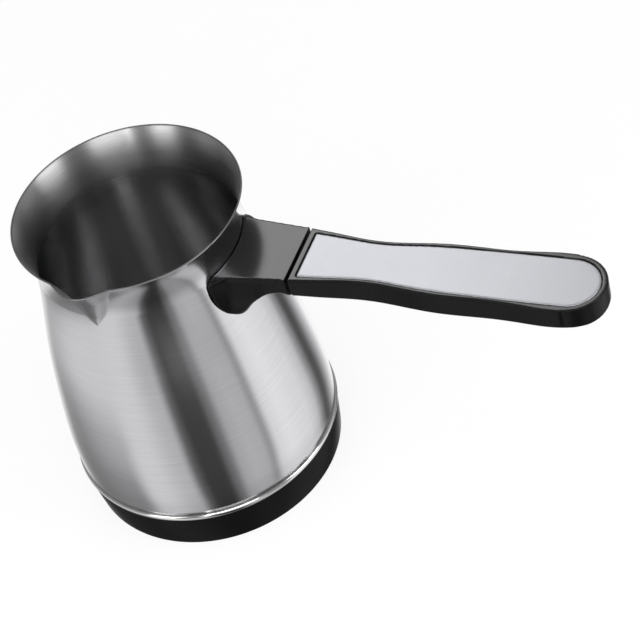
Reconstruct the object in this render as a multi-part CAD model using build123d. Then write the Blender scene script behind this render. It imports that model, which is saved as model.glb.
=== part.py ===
from build123d import *
from math import cos, hypot, pi, radians, sin
import os

# Electric Turkish coffee pot with a fold-down handle.
# The origin is the centre of the base's underside. +Z is up, +X runs along the
# handle and the spout points to -Y. All sizes are millimetres.

# Steel pot
sheet = 0.6                  # wall of the spun pot
foot_radius = 51.2           # outside, where the wall meets the base
foot_straight = 5.3          # straight stretch at the foot of the wall
neck_radius = 38.3           # outside, at the narrowest place
rim_radius = 42.0            # outside, at the top edge
body_height = 94.3           # foot of the wall to the neck
flare_height = 17.0          # neck to the rim
flare_power = 2.25           # how late the flare opens
# the side between foot and neck: share of the way up, share of the taper left
belly_shape = ((0.29, 0.84), (0.63, 0.48), (0.88, 0.12))

# Pouring spout, pressed into the flare
spout_reach = 4.4            # how far the lip stands out of the rim
spout_half_angle = 20.0      # half of the rim that the spout takes
spout_depth = 21.0           # rim to the point of the fold
spout_spread = 0.5           # how early the fold opens above its point
spout_rise = 1.1             # how late the lip swells
spout_dip = 0.45             # how far the wall sinks beside the fold
spout_point = 0.06           # width that is left at the point, as a share
spout_root = 3.0             # how far the spout's filled form reaches behind the wall

# Floor of the pot
floor_sheet = 0.8
floor_rise = 3.25            # foot of the wall to the floor's underside
floor_corner = 1.2
stud_count = 3
stud_radius = 2.6
stud_inset = 4.1             # inside of the gasket to the middle of the studs
stud_length = 7.8

# Bead ring and black base
base_height = 16.0
base_step = 0.3              # top of the base outside the pot wall
base_taper = 1.8             # how much the base narrows to its foot
base_wall = 2.0
base_edge = 0.8              # rounding of the lower edge
ring_height = 2.5
ring_proud = 0.75            # how far the bead stands out of the pot wall
ring_shoulder = 0.1          # pot wall to the bead's flat faces
ring_room = 0.6              # gasket to the bead's inner face
seam_gap = 0.25              # dark groove between bead and pot
ledge_width = 4.1            # top ledge of the base shell
ledge_height = 2.0
gasket_width = 2.0
tab_width = 9.0
tab_height = 2.5
boss_radius = 3.4
rib_half = 1.2               # half thickness of the ribs behind the bosses
cover_inset = 1.0            # underside of the cover above the table
cover_thickness = 2.4
drain_inset = 5.2            # circle of the studs to the slots that let spilled water out
drain_length = 9.0
drain_half_width = 1.2

# Heater
plate_room = 4.6             # studs to the edge of the heater plate
plate_thickness = 3.0
element_inset = 6.5          # edge of the plate to the middle of the tube
element_radius = 3.3
element_groove = 1.3
element_gap_angle = 40.0     # part of the ring left open for the terminals
pin_radius = 1.1
cold_pin_length = 6.0
clip_size = 4.2
clip_tail = 0.8
clip_inset = 4.0             # side of the control to the end of the clip's tail

# Connector of the power base and its control
socket_radius = 21.5
socket_height = 15.5
socket_inset = 0.8
socket_bore = 3.2
socket_bore_depth = 8.2
socket_slots = ((6.0, 8.2), (11.0, 13.2))    # inner and outer radius of each ring slot
socket_slot_depth = 9.0
socket_flange = 3.5          # wall under the heads of the control's screws
contact_wall = 0.5
contact_height = 5.0
centre_contact_height = 0.8
centre_contact_lip = 0.7     # how far it reaches behind the wall of the bore
disc_radius = 6.3
disc_sheet = 0.3
disc_rise = 0.6
disc_offset = 10.0
rod_radius = 1.0
rod_seat = 2.0               # length of the rods inside the control
control_screw_circle = 17.2
seal_width = 2.2
seal_height = 2.0

# Screws: shank radius, head radius, head height
small_screw = {"shank": 1.5, "head": 2.8, "head_height": 1.3}
screw_depth = 5.0            # thread held in a stud or boss
screw_tip = 0.5              # free hole beyond the screw's end
screw_play = 0.2             # round a shank or head that passes through
head_recess = 0.1            # head below the face round it
cross_half = 0.35            # half width of the cross recess
blind_wall = 0.8             # left over a blind screw hole

# Handle, common to the bracket and the grip
handle_top = 16.0            # rim down to the handle's flat top
bracket_length = 23.7        # neck of the pot to the middle of the gap between bracket and grip
seam_width = 1.0
seam_half = 13.0             # half of the handle's width at the gap
seam_side = 6.2              # straight side below the top, at the gap
seam_depth = 11.6            # whole height at the gap
edge_round = 0.5
# bracket: the neck behind the gap, and the lug that hugs the pot below it
neck_half = 15.1             # half width where the neck meets the pot
neck_root = 3.0              # how far the bracket's form starts inside the pot's neck
neck_back = 7.5              # gap back to the thinnest place of the neck
neck_side = 5.4
neck_depth = 10.4
lug_half = 18.6
lug_depth = 23.0             # handle's top to the lug's lowest point
lug_top_half = 14.0          # half width of the lug at the handle's top
lug_spread = 3.0             # height in which it spreads to its full width
lug_shoulder = 5.0           # rounding of that spread
lug_corner = 13.5            # rounding of the lug's outline, seen from the handle's end
lug_front = 18.4             # face of the bracket back to the end of the lug, seen from above
lug_turn = 14.0              # rounding of its corners there
lug_blend = 5.0              # rounding between the lug and the neck's sides
lug_hollow = 20.0            # radius of the hollow between lug and neck
lug_hollow_top = 6.2         # handle's top to the crown of the hollow
lug_hollow_ahead = 0.6       # the crown in front of the bracket's face
lug_slope = 57.0             # steepest place of the lug's front
lug_belly = 20.0             # radius of the front below that place
lug_round = 1.3
# grip in front of the gap: distance from its face, half width, straight side, depth
grip_stations = (
    (9.0, 11.9, 7.0, 11.8), (18.0, 10.7, 7.6, 12.1), (28.5, 10.1, 8.0, 12.4),
    (41.5, 11.2, 8.1, 12.6), (62.0, 12.1, 8.0, 12.5), (84.0, 12.8, 7.6, 11.9),
    (98.0, 13.0, 7.0, 10.6), (109.5, 13.4, 6.2, 8.0),
)
grip_length = 108.4
grip_end_radius = 12.7

# Grip: inside
grip_wall = 2.0
insert_start = 2.4           # face of the grip to the silver plate
insert_front_gap = 2.6       # silver plate to the side of the grip, at its front
insert_side_gap = 1.6        # the same, along the grip
insert_end_gap = 2.1         # silver plate to the tip of the grip
insert_thickness = 1.2
insert_gap = 0.12
carrier_thickness = 1.6
carrier_ledge = 1.2
carrier_rib_half = 1.3       # ribs that hold the hinge pin down
hinge_block = 8.6            # solid stretch behind the grip's face
grip_boss_radius = 3.6
grip_boss_drop = 3.0         # carrier down to the bosses
grip_boss_floor = 2.0        # wall over the screw heads
grip_screw_places = (36.0, 88.0)

# Hinge
hinge_back = 3.4             # face of the grip to the hinge axis
hinge_drop = 7.5             # top of the handle down to the hinge axis
hinge_pin_radius = 1.5
hinge_pin_half = 9.5
hinge_clearance = 0.05
hub_radius = 3.6
hub_half_width = 3.5
hub_gap = 0.3
washer_thickness = 0.6
knuckle_radius = 4.3

# Latch
leaf_thickness = 0.5
leaf_half_width = 2.6
leaf_gap = 0.35              # leaf above the hub
nose_offset = 1.7            # hinge axis to the nose of the leaf
nose_bite = 0.7              # how deep the nose sits in the hub
nose_gap = 0.12
leaf_length = 24.0
leaf_seat = 6.0              # clamped end of the leaf
button_offset = 11.4         # hinge axis to the middle of the button
button_half_length = 4.5
button_half_width = 3.4
button_corner = 1.5
button_round = 0.8
button_travel = 1.5
button_sunk = 0.2            # pressed button inside the grip's underside
button_flange = 1.0
button_flange_lift = 1.0     # flange above the floor of the grip
button_flange_height = 1.2
button_gap = 0.2
button_stem = 1.4

# Fixing of the bracket to the pot
weld_sheet = 0.8
weld_half_width = 10.0
weld_top = 2.0               # below the handle's top
weld_height = 15.0
tab_drop = 8.4               # handle's top to the tab's upper face
tab_sheet = 1.5
tab_half = 8.6
tab_reach = 14.0
bracket_screw_back = 12.0    # face of the bracket to the screws
bracket_screw_half = 4.6
bracket_screw_wall = 1.5     # tab's underside to the seat of the heads
bracket_screw_end = 2.0      # screw above the tab

# Clearances
seat = 0.05                  # between pieces that sit together
play = 0.3                   # between pieces that pass each other

# Sizes, heights and places worked out from the sizes above
base_top_radius = foot_radius + base_step
base_foot_radius = base_top_radius - base_taper
gasket_radius = foot_radius - sheet - floor_corner - 2 * seat
ring_inner_radius = gasket_radius + ring_room
stud_circle = gasket_radius - gasket_width - stud_inset
plate_radius = stud_circle - stud_radius - plate_room
element_ring_radius = plate_radius - element_inset
drain_end = stud_circle - drain_inset
drain_start = drain_end - drain_length
far = 2 * foot_radius        # beyond the pot on every side, for cutting blocks
wide = 2 * lug_half          # beyond the handle on both sides
deep = 2 * lug_depth         # beyond the handle above and below
wall_foot_z = base_height + ring_height + seam_gap
neck_z = wall_foot_z + body_height
rim_z = neck_z + flare_height
floor_z = wall_foot_z + floor_rise
plate_z = floor_z - plate_thickness
stud_z = floor_z - stud_length
cover_top_z = cover_inset + cover_thickness
socket_top_z = socket_inset + socket_height
element_z = plate_z + element_groove - element_radius
top_z = rim_z - handle_top
seam_x = neck_radius + bracket_length
bracket_face_x = seam_x - seam_width / 2
lug_front_x = bracket_face_x - lug_front
grip_face_x = seam_x + seam_width / 2
grip_tip_x = grip_face_x + grip_length
hinge_x = grip_face_x + hinge_back
hinge_z = top_z - hinge_drop
ledge_z = top_z - insert_thickness - carrier_thickness
leaf_z = hinge_z + hub_radius + leaf_gap
button_x = hinge_x + button_offset
stud_angles = [30 + 360 / stud_count * n for n in range(stud_count)]
boss_angles = [angle + 180 / stud_count for angle in stud_angles]


def block(x0, x1, y0, y1, z0, z1):
    """A box between two corners."""
    middle = ((x0 + x1) / 2, (y0 + y1) / 2, (z0 + z1) / 2)
    return Pos(*middle) * Box(x1 - x0, y1 - y0, z1 - z0)


def post(radius, z0, z1, x=0.0, y=0.0):
    """A round post that stands between two heights."""
    return Pos(x, y, (z0 + z1) / 2) * Cylinder(radius, z1 - z0)


def tube(outer, inner, z0, z1, x=0.0, y=0.0):
    """A round tube between two heights."""
    return post(outer, z0, z1, x, y) - post(inner, z0 - 1, z1 + 1, x, y)


def cross_rod(radius, y0, y1, x, z):
    """A round rod along Y."""
    return Pos(x, (y0 + y1) / 2, z) * Rot(90, 0, 0) * Cylinder(radius, y1 - y0)


def lathe(outline):
    """Turns an outline in radius and height about the pot's axis."""
    return revolve(Plane.XZ * make_face(outline), axis=Axis.Z)


def around(shape, angles):
    """Copies of a shape, turned about the pot's axis."""
    return [Rot(0, 0, angle) * shape for angle in angles]


def screw(z_seat, length, x=0.0, y=0.0, sizes=small_screw):
    """An upright screw with its head below z_seat and a cross recess in the head."""
    head = post(sizes["head"], z_seat - sizes["head_height"], z_seat, x, y)
    head = fillet(head.edges().filter_by(GeomType.CIRCLE).sort_by(Axis.Z)[0], sizes["head_height"] * 0.4)
    body = head + post(sizes["shank"], z_seat, z_seat + length, x, y)
    slot = sizes["head"] * 0.6
    low = z_seat - sizes["head_height"]
    for a, b in ((slot, cross_half), (cross_half, slot)):
        body -= block(x - a, x + a, y - b, y + b, low - 1, low + sizes["head_height"] * 0.5)
    return body


# ---------------------------------------------------------------- steel pot

def flare_radius(z):
    """Outer radius of the flare: it opens as a power of the height above the neck."""
    share = max(z - neck_z, 0) / flare_height
    return neck_radius + (rim_radius - neck_radius) * share ** flare_power


def pot_outline(grow, over=0.0):
    """Half of the pot's section, filled to the axis, grown sideways by a distance."""
    straight_z = wall_foot_z + foot_straight
    rise = neck_z - straight_z
    taper = foot_radius - neck_radius
    side = [(foot_radius + grow, straight_z)]
    side += [(neck_radius + taper * left + grow, straight_z + rise * up) for up, left in belly_shape]
    side += [(neck_radius + grow, neck_z)]
    flare = [(flare_radius(neck_z + flare_height * n / 4) + grow, neck_z + flare_height * n / 4)
             for n in range(5)]
    top = rim_z + over
    foot = wall_foot_z - over
    lines = [
        Line((0, foot), (foot_radius + grow, foot)),
        Line((foot_radius + grow, foot), side[0]),
        Spline(*side, tangents=((0, 1), (-0.08, 1))),
        Spline(*flare, tangents=((0, 1), (0.5, 1))),
    ]
    if over:
        lines += [Line(flare[-1], (rim_radius + grow, top))]
    return lines + [Line((rim_radius + grow, top), (0, top)), Line((0, top), (0, foot))]


def pot_envelope(grow, over=0.0):
    """The filled pot, grown by a distance. Pieces that hug the pot are cut with it."""
    return lathe(pot_outline(grow, over))


def spout_section(share, grow, z):
    """Outline of the spout at one height: a cosine swell of the wall, closed behind it."""
    half = radians(spout_half_angle) * max(share ** spout_spread, spout_point)
    wall = flare_radius(z) + grow
    swell = spout_reach * share ** spout_rise
    points = []
    for n in range(9):
        turn = half * (n / 4 - 1)
        radius = wall - spout_dip + (swell + spout_dip) * (1 + cos(pi * turn / half)) / 2
        points.append((radius * sin(turn), -radius * cos(turn)))
    behind = wall - spout_root
    left, right = points[0], points[-1]
    back = [(behind * sin(half) * 0.8, -behind), (-behind * sin(half) * 0.8, -behind)]
    outline = [Spline(*points), Line(right, back[0]), Line(back[0], back[1]), Line(back[1], left)]
    return Pos(0, 0, z) * make_face(outline)


def spout_form(grow):
    """The filled spout: it dies out in a point at the neck and ends above the rim."""
    levels = (0.0, 0.1, 0.35, 0.7, 1.0, 1.08)
    return loft([spout_section(share, grow, rim_z - spout_depth * (1 - share)) for share in levels])


def make_pot_body():
    outside = pot_envelope(0) + (spout_form(0) & block(-far, far, -far, 0, 0, rim_z))
    return outside - pot_envelope(-sheet, over=2) - spout_form(-sheet)


def make_pot_floor():
    outer = foot_radius - sheet - seat
    inner = outer - floor_sheet
    top = floor_z + floor_sheet
    low = wall_foot_z + play
    bend = floor_corner - floor_sheet
    outline = [
        Line((0, top), (outer - floor_corner, top)),
        RadiusArc((outer - floor_corner, top), (outer, top - floor_corner), floor_corner),
        Line((outer, top - floor_corner), (outer, low)),
        Line((outer, low), (inner, low)),
        Line((inner, low), (inner, floor_z - bend)),
        RadiusArc((inner, floor_z - bend), (inner - bend, floor_z), -bend),
        Line((inner - bend, floor_z), (0, floor_z)),
        Line((0, floor_z), (0, top)),
    ]
    return lathe(outline)


def make_floor_studs():
    hole = small_screw["shank"] + seat
    stud = post(stud_radius, stud_z, floor_z, stud_circle) - post(hole, stud_z - 1, stud_z + screw_depth, stud_circle)
    return around(stud, stud_angles)


# ---------------------------------------------------------------- ring and base

def make_trim_ring():
    low = base_height
    high = base_height + ring_height
    shoulder = foot_radius - ring_shoulder
    outline = [
        Line((ring_inner_radius, low), (shoulder, low)),
        ThreePointArc((shoulder, low), (foot_radius + ring_proud, (low + high) / 2), (shoulder, high)),
        Line((shoulder, high), (ring_inner_radius, high)),
        Line((ring_inner_radius, high), (ring_inner_radius, low)),
    ]
    return lathe(outline)


def base_side(z):
    """Outer radius of the base's tapered side."""
    return base_foot_radius + (base_top_radius - base_foot_radius) * z / base_height


def make_base_shell():
    under = base_height - ledge_height
    ledge = base_top_radius - ledge_width
    corners = [
        (base_side(0), 0), (base_side(base_height), base_height), (ledge, base_height), (ledge, under),
        (base_side(under) - base_wall, under), (base_side(0) - base_wall, 0),
    ]
    shell = lathe(Polyline(*corners, close=True))
    rim = shell.edges().filter_by(GeomType.CIRCLE).sort_by(Axis.Z)[:2].sort_by(SortBy.RADIUS)[-1]
    shell = fillet(rim, base_edge)
    inside = lathe(Polyline((0, -1), (base_side(0) - base_wall + 0.5, -1),
                            (base_side(under) - base_wall + 0.5, under), (0, under), close=True))
    reach = stud_circle - stud_radius - 1
    tab_z = stud_z - tab_height
    tab = block(reach, base_top_radius, -tab_width / 2, tab_width / 2, tab_z, stud_z) & inside
    hole = small_screw["shank"] + screw_play
    tab -= post(hole, tab_z - 1, stud_z + 1, stud_circle)
    boss_top = stud_z - tab_height
    boss = post(boss_radius, cover_top_z, boss_top, stud_circle)
    boss += block(stud_circle, base_top_radius, -rib_half, rib_half, cover_top_z + 1, boss_top) & inside
    boss -= post(small_screw["shank"] + seat, cover_top_z - 1, cover_top_z + screw_depth + screw_tip, stud_circle)
    for piece in around(tab, stud_angles) + around(boss, boss_angles):
        shell += piece
    return shell


def make_shell_screws():
    seat_z = stud_z - tab_height
    return around(screw(seat_z, tab_height + screw_depth - screw_tip, stud_circle), stud_angles)


def make_base_gasket():
    return tube(gasket_radius, gasket_radius - gasket_width, base_height, floor_z)


def make_base_cover():
    outer = base_side(cover_inset) - base_wall - play
    cover = tube(outer, socket_radius + play, cover_inset, cover_top_z)
    pocket = small_screw["head_height"] + head_recess
    for angle in boss_angles:
        hole = post(small_screw["shank"] + screw_play, 0, cover_top_z + 1, stud_circle)
        hole += post(small_screw["head"] + screw_play, 0, cover_inset + pocket, stud_circle)
        cover -= Rot(0, 0, angle) * hole
    drain = block(drain_start, drain_end, -drain_half_width, drain_half_width, 0, cover_top_z + 1)
    for angle in stud_angles:
        cover -= Rot(0, 0, angle) * drain
    return cover


def make_cover_screws():
    seat_z = cover_inset + small_screw["head_height"] + head_recess
    length = cover_top_z - seat_z + screw_depth
    return around(screw(seat_z, length, stud_circle), boss_angles)


# ---------------------------------------------------------------- heater and connector

def element_path():
    half = 180 - element_gap_angle / 2
    return CenterArc((0, 0, 0), element_ring_radius, -half, 2 * half)


def element_form(radius):
    """The bent tube, with any radius, so that the plate's groove follows it."""
    path = Pos(0, 0, element_z) * element_path()
    section = Plane(origin=path @ 0, z_dir=path % 0) * Circle(radius)
    return sweep(section, path=path)


def control_screw_spots():
    return [(control_screw_circle * cos(radians(a)), control_screw_circle * sin(radians(a)))
            for a in (0, 120, 240)]


def make_heater_plate():
    plate = post(plate_radius, plate_z, floor_z) - element_form(element_radius + seat)
    for x, y in control_screw_spots():
        plate += post(stud_radius, socket_top_z, plate_z, x, y)
        plate -= post(small_screw["shank"] + seat, socket_top_z - 1, floor_z - blind_wall, x, y)
    return plate


def make_heating_element():
    return element_form(element_radius)


def pin_ends():
    """Start and direction of the cold pins, which leave both ends of the tube."""
    ends = []
    for side in (1, -1):
        turn = radians(180 - element_gap_angle / 2)
        start = (element_ring_radius * cos(turn), side * element_ring_radius * sin(turn))
        ends.append((start, (-sin(turn), side * cos(turn))))
    return ends


def cold_pin(start, along, radius, first, last):
    """A round pin from one distance to another along its line."""
    middle = (first + last) / 2
    place = (start[0] + along[0] * middle, start[1] + along[1] * middle, element_z)
    plane = Plane(origin=place, z_dir=(along[0], along[1], 0))
    return plane * Cylinder(radius, last - first)


def make_element_pins():
    return [cold_pin(start, along, pin_radius, 0, cold_pin_length) for start, along in pin_ends()]


def make_terminal_clips():
    clips = []
    for start, along in pin_ends():
        x = start[0] + along[0] * (cold_pin_length - 2)
        y = start[1] + along[1] * (cold_pin_length - 2)
        half = clip_size / 2
        clip = block(x - half, x + half, y - half / 2, y + half / 2, socket_top_z, element_z + pin_radius + 0.5)
        reach = clip_inset - socket_radius
        clip += block(x - half, reach, y - half / 2, y + half / 2, socket_top_z, socket_top_z + clip_tail)
        clips.append(clip - cold_pin(start, along, pin_radius + seat, -1, 2 * cold_pin_length))
    return clips


def make_controller_body():
    body = post(socket_radius, socket_inset, socket_top_z)
    body = chamfer(body.edges().filter_by(GeomType.CIRCLE).sort_by(Axis.Z)[0], 0.8)
    body -= post(socket_bore, socket_inset - 1, socket_inset + socket_bore_depth)
    contact_z = socket_inset + socket_bore_depth
    body -= post(socket_bore + centre_contact_lip + seat, contact_z, contact_z + centre_contact_height + seat)
    for inner, outer in socket_slots:
        body -= tube(outer, inner, socket_inset - 1, socket_inset + socket_slot_depth)
    pocket_z = socket_top_z - socket_flange
    for x, y in control_screw_spots():
        body -= post(small_screw["shank"] + screw_play, socket_inset, socket_top_z + 1, x, y)
        body -= post(small_screw["head"] + screw_play, socket_inset - 1, pocket_z, x, y)
    for side in (1, -1):
        body -= post(rod_radius + play, socket_top_z - rod_seat, socket_top_z + 1, 0, side * disc_offset)
    return body


def make_contact_rings():
    """Two brass rings that line the outer walls of the ring slots, at the slots' ends."""
    high = socket_inset + socket_slot_depth
    rings = []
    for _, outer in socket_slots:
        rings.append(tube(outer - seat, outer - seat - contact_wall, high - contact_height, high))
    return rings


def make_centre_contact():
    low = socket_inset + socket_bore_depth
    return post(socket_bore + centre_contact_lip, low, low + centre_contact_height)


def make_controller_screws():
    seat_z = socket_top_z - socket_flange
    length = floor_z - blind_wall - screw_tip - seat_z
    return [screw(seat_z, length, x, y) for x, y in control_screw_spots()]


def make_bimetal_discs():
    ball = (disc_radius ** 2 + disc_rise ** 2) / (2 * disc_rise)
    dome = Sphere(ball) - Sphere(ball - disc_sheet)
    disc = Pos(0, 0, plate_z - ball) * dome & post(disc_radius, plate_z - disc_rise - disc_sheet, plate_z)
    return [Pos(0, side * disc_offset, 0) * disc for side in (1, -1)]


def make_push_rods():
    high = plate_z - disc_sheet - seat
    return [post(rod_radius, socket_top_z - rod_seat, high, 0, side * disc_offset) for side in (1, -1)]


def make_socket_seal():
    inner = socket_radius + seat
    return tube(inner + seal_width, inner, cover_top_z, cover_top_z + seal_height)


# ---------------------------------------------------------------- handle

def handle_section(x, half, side, depth):
    """Flat top, straight sides and a half-elliptic underside, across the handle."""
    side_z = top_z - side
    shoulder = top_z - edge_round
    flat = half - edge_round
    outline = [
        Line((-half, side_z), (-half, shoulder)),
        CenterArc((-flat, shoulder), edge_round, 90, 90),
        Line((-flat, top_z), (flat, top_z)),
        CenterArc((flat, shoulder), edge_round, 0, 90),
        Line((half, shoulder), (half, side_z)),
        EllipticalCenterArc((0, side_z), half, depth - side, start_angle=180, arc_size=180),
    ]
    return Plane(origin=(x, 0, 0), x_dir=(0, 1, 0), z_dir=(1, 0, 0)) * make_face(outline)


def grip_form(inset=0.0, start=0.0):
    """The grip's outer form, or the same form moved inwards."""
    stations = ((0.0, seam_half, seam_side, seam_depth),) + grip_stations
    sections = [handle_section(grip_face_x + along, half - inset, side - inset, depth - inset)
                for along, half, side, depth in stations]
    return loft(sections) & grip_plan(inset, start)


def grip_plan(inset, start):
    """Round-ended stretch of the plan that the grip fills."""
    end_x = grip_tip_x - grip_end_radius
    low, high = top_z - deep, top_z + deep
    radius = grip_end_radius - inset
    plan = block(grip_face_x + start, end_x, -wide, wide, low, high)
    return plan + post(radius, low, high, end_x)


def insert_outline(gap, z0, z1):
    """The silver plate's plan, with round end, moved inwards by a gap."""
    end_radius = grip_end_radius - insert_end_gap - gap
    end_x = grip_tip_x - grip_end_radius
    side = [(grip_face_x + insert_start + gap, insert_front_gap + gap - seam_half)]
    side += [(grip_face_x + along, insert_side_gap + gap - half) for along, half, _, _ in grip_stations[1:5]]
    side += [(end_x, -end_radius)]
    mirrored = [(x, -y) for x, y in reversed(side)]
    outline = [
        Spline(*side),
        ThreePointArc(side[-1], (end_x + end_radius, 0), mirrored[0]),
        Spline(*mirrored),
        Line(mirrored[-1], side[0]),
    ]
    return Pos(0, 0, z0) * extrude(make_face(outline), z1 - z0, dir=(0, 0, 1))


def tongue_slot(half_width):
    """Space that the bracket's tongue needs in the grip, from level to folded down."""
    radius = hub_radius + hub_gap
    slot = cross_rod(radius, -half_width, half_width, hinge_x, hinge_z)
    slot += block(grip_face_x - 1, hinge_x, -half_width, half_width, hinge_z - seam_depth, hinge_z + radius)
    slot += block(grip_face_x - 1, hinge_x + radius, -half_width, half_width, hinge_z - seam_depth, hinge_z)
    return slot


def lug_arcs():
    """Middles and radii of the lug's front from the side: the hollow and the belly below it."""
    turn = radians(lug_slope)
    hollow = (bracket_face_x + lug_hollow_ahead, top_z - lug_hollow_top - lug_hollow)
    both = lug_hollow + lug_belly
    belly = (hollow[0] - both * sin(turn), hollow[1] + both * cos(turn))
    return (hollow, lug_hollow), (belly, lug_belly)


def lug_profile():
    """The bracket from the side: the lug's front and the hollow between it and the neck."""
    (hollow, hollow_radius), (belly, belly_radius) = lug_arcs()
    low, high = belly[1] - belly_radius, top_z + deep
    side = [
        Line((0, low), (belly[0], low)),
        CenterArc(belly, belly_radius, -90, lug_slope),
        CenterArc(hollow, hollow_radius, 90, lug_slope),
        Polyline((hollow[0], hollow[1] + hollow_radius), (hollow[0], high), (0, high), (0, low)),
    ]
    return extrude(Plane.XZ * make_face(side), wide, both=True)


def lug_outline():
    """The lug from the handle's end: it spreads below the top and ends in round corners."""
    low = top_z - lug_depth
    spread_z = top_z - lug_spread
    corner_z = low + lug_corner
    flat = lug_half - lug_corner
    outline = [
        Line((-lug_top_half, top_z), (lug_top_half, top_z)),
        RadiusArc((lug_top_half, top_z), (lug_half, spread_z), lug_shoulder),
        Line((lug_half, spread_z), (lug_half, corner_z)),
        RadiusArc((lug_half, corner_z), (flat, low), lug_corner),
        Line((flat, low), (-flat, low)),
        RadiusArc((-flat, low), (-lug_half, corner_z), lug_corner),
        Line((-lug_half, corner_z), (-lug_half, spread_z)),
        RadiusArc((-lug_half, spread_z), (-lug_top_half, top_z), lug_shoulder),
    ]
    across = Plane(origin=(0, 0, 0), x_dir=(0, 1, 0), z_dir=(1, 0, 0))
    return extrude(across * make_face(outline), grip_face_x)


def bracket_plan():
    """The bracket from above: a straight neck, blended into the lug's round corners."""
    root_x = neck_radius - neck_root
    corners = [(root_x, neck_half), (bracket_face_x, seam_half), (bracket_face_x, -seam_half), (root_x, -neck_half)]
    length, width = 2 * (lug_front_x + edge_round), 2 * (lug_half + edge_round)
    plan = make_face(Polyline(*corners, close=True)) + RectangleRounded(length, width, lug_turn)
    hollows = plan.vertices().filter_by_position(Axis.X, lug_front_x - lug_turn + 1, lug_front_x + 1)
    plan = fillet(hollows, lug_blend)
    return Pos(0, 0, top_z - deep) * extrude(plan, 2 * deep)


def lug_rim(edge):
    """Whether an edge bounds the lug's front, other than where the front's arcs meet."""
    place = edge @ 0.5
    on_front = any(abs(hypot(place.X - x, place.Z - z) - radius) < 0.01 for (x, z), radius in lug_arcs())
    box = edge.bounding_box()
    across = box.min.Y < 0 < box.max.Y
    return on_front and not (across and box.min.Z > top_z - lug_depth + seat)


def bracket_lug():
    lug = lug_profile() & lug_outline() & bracket_plan()
    return fillet(lug.edges().filter_by(lug_rim), lug_round)


def make_handle_bracket():
    root_x = neck_radius - neck_root
    thin_x = bracket_face_x - neck_back
    share = (thin_x - root_x) / (bracket_face_x - root_x)
    neck = loft([
        handle_section(root_x, neck_half, neck_side, neck_depth),
        handle_section(thin_x, neck_half + (seam_half - neck_half) * share, neck_side, neck_depth),
        handle_section(bracket_face_x, seam_half, seam_side, seam_depth),
    ], ruled=True)
    bracket = bracket_lug() + neck
    tongue = block(bracket_face_x - hub_radius, hinge_x, -hub_half_width, hub_half_width,
                   hinge_z - hub_radius, hinge_z + hub_radius)
    tongue += cross_rod(hub_radius, -hub_half_width, hub_half_width, hinge_x, hinge_z)
    tongue -= cross_rod(hinge_pin_radius + hinge_clearance, -wide, wide, hinge_x, hinge_z)
    nose_x = hinge_x + nose_offset
    tongue -= block(nose_x - nose_gap, nose_x + leaf_thickness + nose_gap, -wide, wide,
                    nose_floor() - nose_gap, top_z)
    bracket += tongue
    bracket -= pot_envelope(seat)
    bracket -= weld_form(seat + weld_sheet + seat, weld_half_width + play, play)
    bracket -= block(0, neck_radius + tab_reach + play, -tab_half - play, tab_half + play,
                     top_z - tab_drop - tab_sheet - seat, top_z - tab_drop + seat)
    seat_z = bracket_screw_z()
    tip_z = top_z - tab_drop + bracket_screw_end + screw_tip
    for side in (1, -1):
        x, y = bracket_screw_x(), side * bracket_screw_half
        bracket -= post(small_screw["shank"] + screw_play, seat_z - 1, tip_z, x, y)
        bracket -= post(small_screw["head"] + screw_play, seat_z - lug_depth, seat_z, x, y)
    return bracket


def nose_floor():
    """Height of the leaf's nose in the hub's notch."""
    return hinge_z + (hub_radius ** 2 - (nose_offset + leaf_thickness) ** 2) ** 0.5 - nose_bite


def bracket_screw_x():
    return bracket_face_x - bracket_screw_back


def bracket_screw_z():
    """Seat of the bracket's screw heads."""
    return top_z - tab_drop - tab_sheet - bracket_screw_wall


def weld_form(outer, half_width, extra):
    """A slab that hugs the pot between two distances from it."""
    high = top_z - weld_top + extra
    low = top_z - weld_top - weld_height - extra
    return pot_envelope(outer) & block(0, far, -half_width, half_width, low, high)


def make_weld_plate():
    tab_z = top_z - tab_drop
    plate = weld_form(seat + weld_sheet, weld_half_width, 0)
    plate += block(neck_radius - neck_root, neck_radius + tab_reach, -tab_half, tab_half, tab_z - tab_sheet, tab_z)
    for side in (1, -1):
        plate -= post(small_screw["shank"] + seat, 0, rim_z, bracket_screw_x(), side * bracket_screw_half)
    return plate - pot_envelope(seat)


def make_bracket_screws():
    seat_z = bracket_screw_z()
    length = top_z - tab_drop + bracket_screw_end - seat_z
    return [screw(seat_z, length, bracket_screw_x(), side * bracket_screw_half) for side in (1, -1)]


def grip_boss_z():
    """Upper face of the screw bosses in the grip."""
    return ledge_z - grip_boss_drop


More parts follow.
